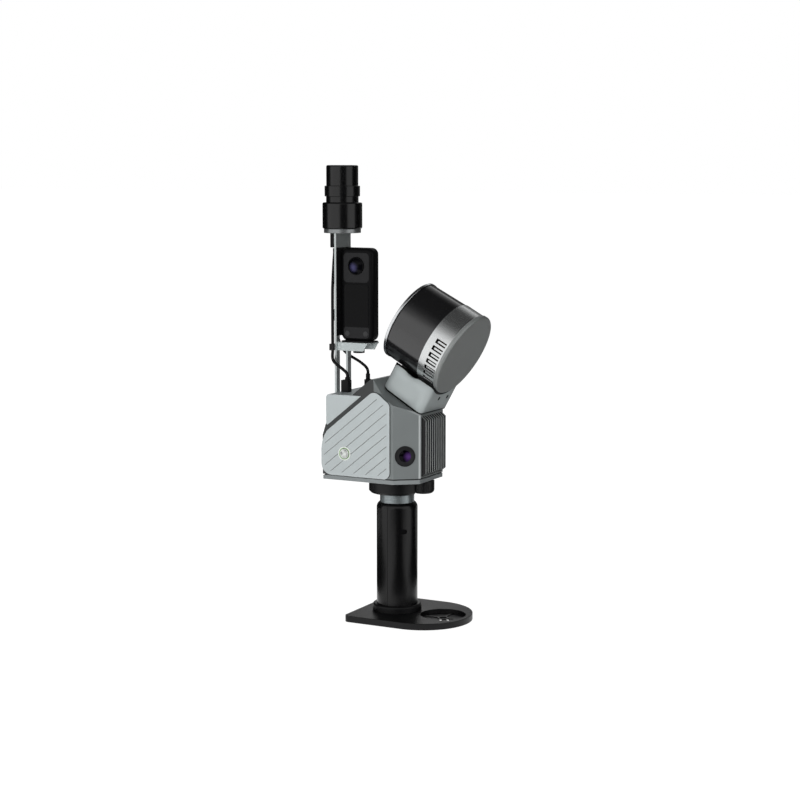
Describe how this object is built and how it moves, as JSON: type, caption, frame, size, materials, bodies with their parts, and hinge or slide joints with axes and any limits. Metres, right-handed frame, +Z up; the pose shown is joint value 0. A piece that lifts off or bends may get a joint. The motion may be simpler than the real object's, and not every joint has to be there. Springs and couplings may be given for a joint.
{
  "type": "handheld lidar scanner",
  "caption": "Handheld mapping scanner: spinning lidar on a tilted neck, body with cameras, battery grip on a base plate, and a mast with antenna and panoramic camera.",
  "frame": {"origin": "on the grip's axis, at the underside of the base plate", "axes": "+X towards the lidar's end, the front; +Y to the scanner's left; +Z up along the grip"},
  "size_m": [0.2152, 0.1214, 0.5508],
  "materials": {
    "dark_metal": "satin",
    "grip_plastic": "satin",
    "black_plastic": "matte",
    "black_gloss": "gloss",
    "rubber": "matte",
    "steel": "brushed",
    "bare_metal": "satin",
    "casing_grey": "satin",
    "panel_silver": "satin",
    "sheet_metal": "satin",
    "sink_metal": "satin",
    "button_metal": "brushed",
    "light_ring": "gloss",
    "lens_glass": "gloss",
    "disc_grey": "satin",
    "bright_rim": "polished",
    "rotor_black": "matte",
    "copper": "satin",
    "circuit": "satin",
    "chip": "satin",
    "cell": "satin"
  },
  "bodies": {
    "scanner": {"base_plate": "dark_metal", "sighting_reticle": "black_plastic", "base_screws": "steel", "grip_foot_flange": "dark_metal", "grip_front_shell": "grip_plastic", "grip_rear_shell": "grip_plastic", "grip_switch_board": "circuit", "battery_cells": "cell", "battery_holders": "black_plastic", "grip_collar": "bare_metal", "coupling_block": "black_plastic", "coupling_screws": "steel", "bottom_cover": "casing_grey", "cover_screws": "steel", "main_shell": "casing_grey", "side_panel_right": "panel_silver", "side_panel_left": "panel_silver", "front_heat_sink": "sink_metal", "power_switch_body": "light_ring", "lens_bezels": "black_gloss", "scan_lenses": "lens_glass", "camera_modules": "circuit", "main_circuit_board": "circuit", "compute_module": "chip", "motion_sensor": "bare_metal", "rear_module_housing": "panel_silver", "positioning_board": "circuit", "neck_housing": "panel_silver", "neck_screws": "steel", "lidar_front_disc": "disc_grey", "lidar_base_housing": "bare_metal", "lidar_window": "black_gloss", "lidar_rear_cap": "bright_rim", "lidar_shaft": "steel", "lidar_bearings": "steel", "lidar_motor": "copper", "mast_plate": "sheet_metal", "mast_screws": "steel", "antenna_flange": "bare_metal", "antenna_base": "black_plastic", "antenna_radome": "black_plastic", "antenna_connector": "rubber", "antenna_cable": "rubber", "antenna_plug": "rubber", "cable_clip": "black_plastic", "camera_tray": "sheet_metal", "camera_pad": "rubber", "camera_body": "black_plastic", "camera_screen": "black_gloss", "camera_lenses": "lens_glass", "camera_cable": "rubber", "camera_cable_plugs": "rubber"},
    "lidar_spinner": {"lidar_rotor": "rotor_black", "lidar_optics": "lens_glass"},
    "coupling_knob": {"coupling_knob": "black_plastic"},
    "camera_screw": {"camera_screw": "black_plastic"},
    "power_button": {"power_button": "button_metal"},
    "grip_button": {"grip_button": "black_plastic"},
    "shutter_button": {"camera_shutter_button": "black_plastic"},
    "mode_button": {"camera_mode_button": "black_plastic"}
  },
  "joints": [
    {"name": "lidar_spin", "type": "hinge", "parent": "scanner", "child": "lidar_spinner", "pos_m": [0.0906, 0, 0.3258], "axis": [0.8746, 0, -0.4848], "continuous": true},
    {"name": "coupling_knob_turn", "type": "hinge", "parent": "scanner", "child": "coupling_knob", "pos_m": [0.036, 0, 0.1643], "axis": [0, 0, 1], "continuous": true},
    {"name": "camera_screw_turn", "type": "hinge", "parent": "scanner", "child": "camera_screw", "pos_m": [-0.0529, 0, 0.33], "axis": [0, 0, 1], "continuous": true},
    {"name": "power_button_press", "type": "slide", "parent": "scanner", "child": "power_button", "axis": [0, 1, 0], "range_m": [0, 0.0008], "stiffness_N_per_m": 900},
    {"name": "grip_button_press", "type": "slide", "parent": "scanner", "child": "grip_button", "axis": [-0.6947, 0.7193, 0], "range_m": [0, 0.001], "stiffness_N_per_m": 600},
    {"name": "shutter_button_press", "type": "slide", "parent": "scanner", "child": "shutter_button", "axis": [0, 1, 0], "range_m": [0, 0.0004], "stiffness_N_per_m": 900},
    {"name": "mode_button_press", "type": "slide", "parent": "scanner", "child": "mode_button", "axis": [0, 1, 0], "range_m": [0, 0.0004], "stiffness_N_per_m": 900}
  ]
}
